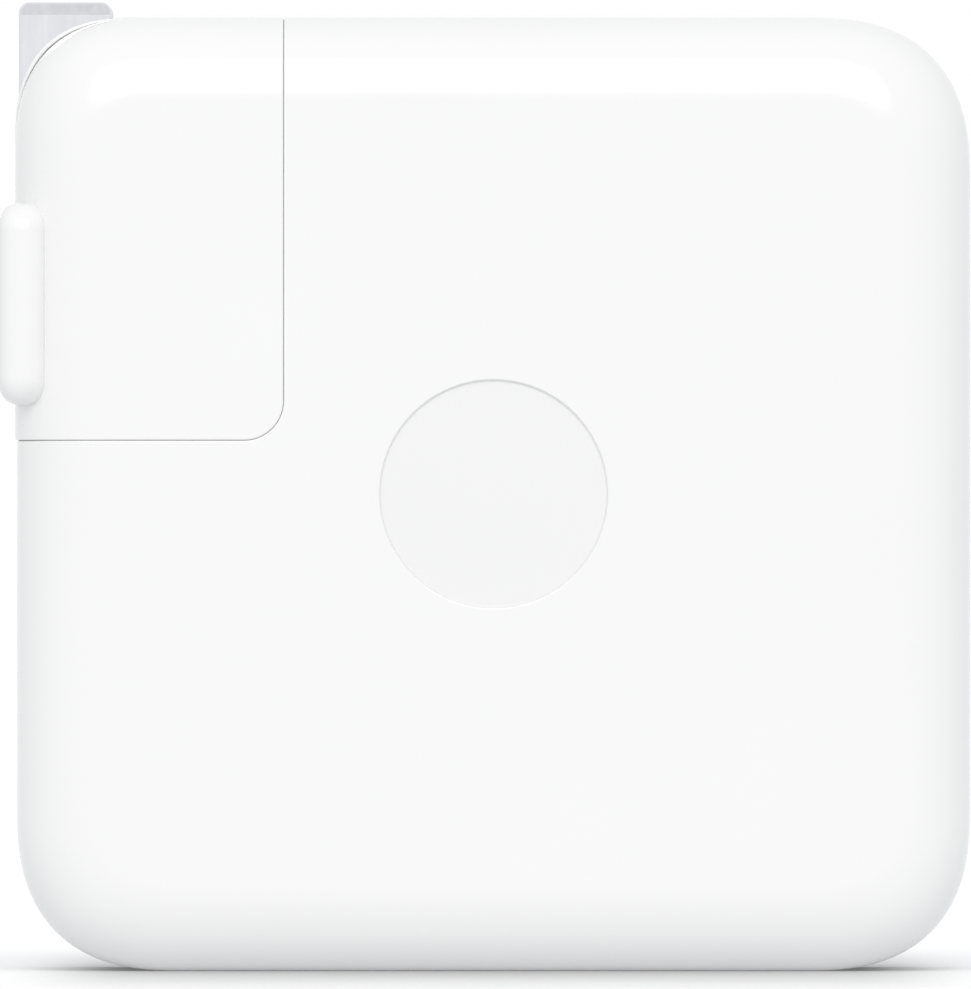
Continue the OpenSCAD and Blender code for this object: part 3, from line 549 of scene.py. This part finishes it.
def pad_form(grow):
    """The rounded pad that meets the wall."""
    size = (pad_high - pad_low) / 2
    bm = rounded_slab(
        (size.y + grow, size.x + grow, size.z + grow), pad_reach + grow, power=2,
        edge=size.x + grow, power_across=pad_power, steps=(16, 12),
    )
    bmesh.ops.rotate(bm, matrix=Matrix.Rotation(math.pi / 2, 3, "Z"), verts=bm.verts)
    bmesh.ops.translate(bm, vec=(pad_low + pad_high) / 2, verts=bm.verts)
    return bm


def cut_slots(piece, x1):
    """Cuts the slots of both blades, from the left as far as x1."""
    for middle in (-blade_y, blade_y):
        carve(piece, block((-far, middle - slot_half, slot_z), (x1, middle + slot_half, 2 * far)))


skin = carve(make(head_form(0), "plug_head_skin"), head_corner(-seen_gap), "INTERSECT")
# The next cut bakes this easing in, so the window and the slots keep sharp edges.
ease(carve(skin, head_form(head_wall)), cover_ease)
carve(skin, block(
    (-far, -window_y - fit, window_z - fit), (liner_high.x + fit, window_y + fit, 2 * far)
))
cut_slots(skin, liner_low.x)
carve(skin, pad_form(-pad_bite))
level(skin, sharp=50)
fit_on(skin, "plug_head", "body_white", gloss_white, "head_shell")

pad = make(pad_form(0), "blade_pad")
cut_slots(pad, 0)
carve(pad, rod(1, pivot, -hub_room_y, hub_room_y, hub_room_r))
ease(pad, pad_ease)
fit_on(pad, "plug_head", "body_white", gloss_white, "wall_pad")


# ---- Blades ----

for name, node in (("blade_front_plated", "blade_front"), ("blade_rear_plated", "blade_rear")):
    low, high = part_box(node)
    bm = block(low, high)
    tips = [e for e in along(bm, 1) if e.verts[0].co.z > high.z - MM]
    round_over(bm, tips, tip_round, steps=12)
    heel = [e for e in along(bm, 1) if (e.verts[0].co - low).xz.length < MM]
    round_over(bm, heel, heel_round, steps=12)
    bmesh.ops.bisect_plane(
        bm, geom=bm.verts[:] + bm.edges[:] + bm.faces[:], dist=touching,
        plane_co=(0, 0, high.z - tip_bevel), plane_no=(0, 0, 1),
    )
    # The tip thins towards its end, on both sides alike.
    middle = (low.y + high.y) / 2
    for v in bm.verts:
        share = max(v.co.z - high.z + tip_bevel, 0) / tip_bevel
        v.co.y = middle + (v.co.y - middle) * (1 - share * bevel_depth / (high.y - middle))
    blade = make(bm, name)
    blade.data.set_sharp_from_angle(angle=math.radians(20))
    ease(blade, blade_ease, sharp=40).modifiers["eased_edges"].material = 0
    for finish in (nickel, bevel_nickel_painted_shade):
        blade.data.materials.append(finish)
    # The tip bevels take the darker nickel: painted shade.
    for face in blade.data.polygons:
        if face.center.z > high.z - tip_bevel and 0.3 < abs(face.normal.y) < 0.99:
            face.material_index = 1
    fit_on(blade, "blades", "nickel", nickel, node)


# ---- Port ----

port = make(port_slot(port_low.x, port_high.x, 0), "port_liner")
carve(port, port_slot(port_low.x + port_floor, port_high.x + MM, -port_wall))
ease(port, trim_ease)
fit_on(port, "adapter", "nickel", turned_nickel, "usb_c_shell")


# ---- Pieces that keep their node's own form ----

def whole_copy(node, name):
    """A node's own mesh, joined up, with its flat faces whole."""
    bm = bmesh.new()
    bm.from_mesh(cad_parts[node].data)
    bmesh.ops.remove_doubles(bm, verts=bm.verts, dist=hair)
    bmesh.ops.dissolve_limit(bm, angle_limit=math.radians(1), verts=bm.verts, edges=bm.edges)
    return make(bm, name)


for node, name, width, body, slot, finish in (
    ("inlet_housing", "inlet_moulding", 0.1, "adapter", "head_inner", liner_white),
    ("inlet_pins", "inlet_pins_turned", 0.05, "adapter", "nickel", turned_nickel),
    ("ground_stud", "earth_stud_turned", 0.06, "adapter", "nickel", turned_nickel),
    ("usb_c_tongue", "port_tongue", 0.05, "adapter", "black_plastic", black_plastic),
    ("head_base", "nose_plate", 0.1, "plug_head", "head_inner", liner_white),
    ("nose_sleeves", "nose_contacts", 0.04, "plug_head", "brass", brass),
    ("stud_track", "earth_track", 0.05, "plug_head", "nickel", turned_nickel),
    ("blade_hub", "blade_carrier", 0.08, "blades", "head_inner", liner_white),
):
    easing = ease(whole_copy(node, name), width * MM, sharp=50, steps=2)
    fit_on(easing, body, slot, finish, node)


# ---- Liner of the plug head: its node's cheeks below the window, a finer crown in it ----

cheeks = whole_copy("head_liner", "cheeks")
carve(cheeks, block((-far, -far, window_z), (far, far, 2 * far)))
crown = make(raised(rounded_slab(
    (-head_low.x, window_y, mid_z), crown_reach, head_power,
    edge=crown_rim, power_across=2, steps=(32, 1),
)), "crown")
carve(crown, block(
    (-far, -window_y, window_z + crown_gap), (liner_high.x, window_y, 2 * far)
), "INTERSECT")
groove = make(raised(rounded_slab(
    (-head_low.x - groove_lip, far, mid_z - groove_lip), groove_reach, head_power,
    edge=MM, power_across=2, steps=(32, 1),
)), "groove")
carve(crown, carve(groove, block((-past, -groove_y, -past), (past, groove_y, above))))
carve(crown, pad_form(fit))
cut_slots(crown, blade_high.x + slot_behind)
both = bmesh.new()
for part in (cheeks, crown):
    both.from_mesh(part.data)
    bpy.data.objects.remove(part)
fit_on(
    ease(make(both, "corner_liner"), trim_ease, sharp=50, steps=2),
    "plug_head", "head_inner", liner_white, "head_liner",
)


# ---- Contact strips on both faces of the port's tongue ----

tongue_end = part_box("usb_c_tongue")[1].x
strips_each_side, strip_pitch, strip_back, strip_y = 12, 0.5 * MM, 2.4 * MM, 0.35 * MM
strip_size = Vector((3.2 * MM, 0.04 * MM, 0.26 * MM))
strips = bmesh.new()
for face in (-1, 1):
    for i in range(strips_each_side):
        z = mid_z + (i - (strips_each_side - 1) / 2) * strip_pitch
        middle = Vector((tongue_end - strip_back, face * strip_y, z))
        bmesh.ops.create_cube(
            strips, size=1, matrix=Matrix.LocRotScale(middle, None, strip_size)
        )
fit_on(ease(make(strips, "port_contacts"), 0.01 * MM), "adapter", "brass", brass)


# ---- Camera ----

camera = bpy.data.objects.new("camera", bpy.data.cameras.new("camera"))
scene.collection.objects.link(camera)
camera.location = (-0.552 * MM, -2.9, 32.6 * MM)
camera.rotation_euler = (math.pi / 2, 0, 0)
camera.data.sensor_fit = "HORIZONTAL"
camera.data.sensor_width = 36
camera.data.lens = 1571.8
camera.data.shift_y = -0.0021
camera.data.clip_start, camera.data.clip_end = 0.01, 50
scene.camera = camera


# ---- Floor, backdrop and light ----

# The floor's painted shadow: where the floor is seen, ambient occlusion within this reach round
# the adapter darkens its colour, falling off by this power. The painting fades from its depth
# under the adapter to its depth outside, between two distances from the middle.
shadow_reach, shadow_power = 0.12, 0.46
shadow_fade = {"From Min": 24 * MM, "From Max": 34 * MM, "To Min": 0.78, "To Max": 0.1}
# Light that the floor adds where it is seen, and the share of light that it lets through.
floor_lift, floor_clear = 0.12, 0.85


def seen_ray(tree):
    """1 where the camera sees a thing, directly or in metal or glass."""
    ray = tree.nodes.new("ShaderNodeLightPath")
    seen = [tree.nodes.new("ShaderNodeMath") for _ in range(2)]
    for step, kind in zip(seen, ("Is Glossy Ray", "Is Transmission Ray")):
        step.operation = "MAXIMUM"
        tree.links.new(ray.outputs[kind], step.inputs[1])
    tree.links.new(ray.outputs["Is Camera Ray"], seen[0].inputs[0])
    tree.links.new(seen[0].outputs[0], seen[1].inputs[0])
    return seen[1].outputs[0]


def chain(tree, value, *steps):
    """Passes a value through arithmetic steps, each with its number before or after the value."""
    for operation, numbers in steps:
        step = tree.nodes.new("ShaderNodeMath")
        step.operation = operation
        for socket, number in numbers.items():
            step.inputs[socket].default_value = number
        tree.links.new(value, step.inputs[1 if 0 in numbers else 0])
        value = step.outputs[0]
    return value


def join(tree, kind, first, second, share=None):
    """Adds two shaders, or mixes them by a share that is a number or a socket."""
    joint = tree.nodes.new(kind)
    sockets = joint.inputs if share is None else joint.inputs[1:]
    tree.links.new(first, sockets[0])
    tree.links.new(second, sockets[1])
    if isinstance(share, float):
        joint.inputs[0].default_value = share
    elif share is not None:
        tree.links.new(share, joint.inputs[0])
    return joint.outputs[0]


def opal_sheet():
    """White sheet with a painted shadow near what stands on it, drawn from ambient occlusion where
    it is seen; room light comes up through it.
    """
    paper = bpy.data.materials.new("opal_sheet")
    paper.use_nodes = True
    tree = paper.node_tree
    tree.nodes.clear()
    occlusion_for_painted_shadow = tree.nodes.new("ShaderNodeAmbientOcclusion")
    occlusion_for_painted_shadow.inputs["Distance"].default_value = shadow_reach
    spot = tree.nodes.new("ShaderNodeSeparateXYZ")
    tree.links.new(tree.nodes.new("ShaderNodeTexCoord").outputs["Object"], spot.inputs[0])
    aside = chain(tree, spot.outputs["X"], ("ABSOLUTE", {}))
    under = span(tree, aside, shadow_fade)
    under.interpolation_type = "SMOOTHSTEP"
    # Painted shadow: occlusion darkens the floor's seen colour, and less so away from the middle.
    shadow_paint = chain(tree, occlusion_for_painted_shadow.outputs["AO"], ("SUBTRACT", {0: 1}), ("POWER", {1: shadow_power}))
    depth = tree.nodes.new("ShaderNodeMath")
    depth.operation = "MULTIPLY"
    tree.links.new(shadow_paint, depth.inputs[0])
    tree.links.new(under.outputs["Result"], depth.inputs[1])
    painted_shadow_tone = chain(tree, depth.outputs[0], ("SUBTRACT", {0: 1}))
    top = tree.nodes.new("ShaderNodeBsdfDiffuse")
    tree.links.new(painted_shadow_tone, top.inputs["Color"])
    lift = tree.nodes.new("ShaderNodeEmission")
    tree.links.new(chain(tree, painted_shadow_tone, ("MULTIPLY", {1: floor_lift})), lift.inputs["Strength"])
    shown = join(tree, "ShaderNodeAddShader", top.outputs[0], lift.outputs[0])
    bounce = tree.nodes.new("ShaderNodeBsdfDiffuse")
    bounce.inputs["Color"].default_value = (0.95, 0.95, 0.95, 1)
    through = tree.nodes.new("ShaderNodeBsdfTransparent")
    opal = join(
        tree, "ShaderNodeMixShader", bounce.outputs[0], through.outputs[0], floor_clear
    )
    sheet = join(tree, "ShaderNodeMixShader", opal, shown, seen_ray(tree))
    tree.links.new(sheet, tree.nodes.new("ShaderNodeOutputMaterial").inputs["Surface"])
    return paper


def studio():
    """An even room that lights the adapter, and a white backdrop where it is seen."""
    world = bpy.data.worlds.new("studio")
    world.use_nodes = True
    tree = world.node_tree
    tree.nodes.clear()
    room, backdrop = (tree.nodes.new("ShaderNodeBackground") for _ in range(2))
    room.inputs["Color"].default_value = (0.972, 0.986, 1, 1)
    room.inputs["Strength"].default_value = 0.75
    backdrop.inputs["Color"].default_value = (1, 1, 1, 1)
    backdrop.inputs["Strength"].default_value = 1
    choose = join(
        tree, "ShaderNodeMixShader", room.outputs[0], backdrop.outputs[0], seen_ray(tree)
    )
    tree.links.new(choose, tree.nodes.new("ShaderNodeOutputWorld").inputs["Surface"])
    return world


def far_softbox(name, elevation, spread_angle, strength):
    """A broad lamp in front, so far off that it lights the floor evenly."""
    lamp = bpy.data.lights.new(name, "SUN")
    lamp.energy, lamp.angle = strength, math.radians(spread_angle)
    lamp.color = (1, 0.965, 0.93)
    holder = bpy.data.objects.new(name, lamp)
    scene.collection.objects.link(holder)
    holder.rotation_euler = (math.radians(90 - elevation), 0, 0)


ground = bmesh.new()
bmesh.ops.create_grid(ground, x_segments=1, y_segments=1, size=4)
floor = make(ground, "floor")
floor.data.materials.append(opal_sheet())
scene.world = studio()
far_softbox("front_softbox", elevation=29.5, spread_angle=43, strength=1.07)
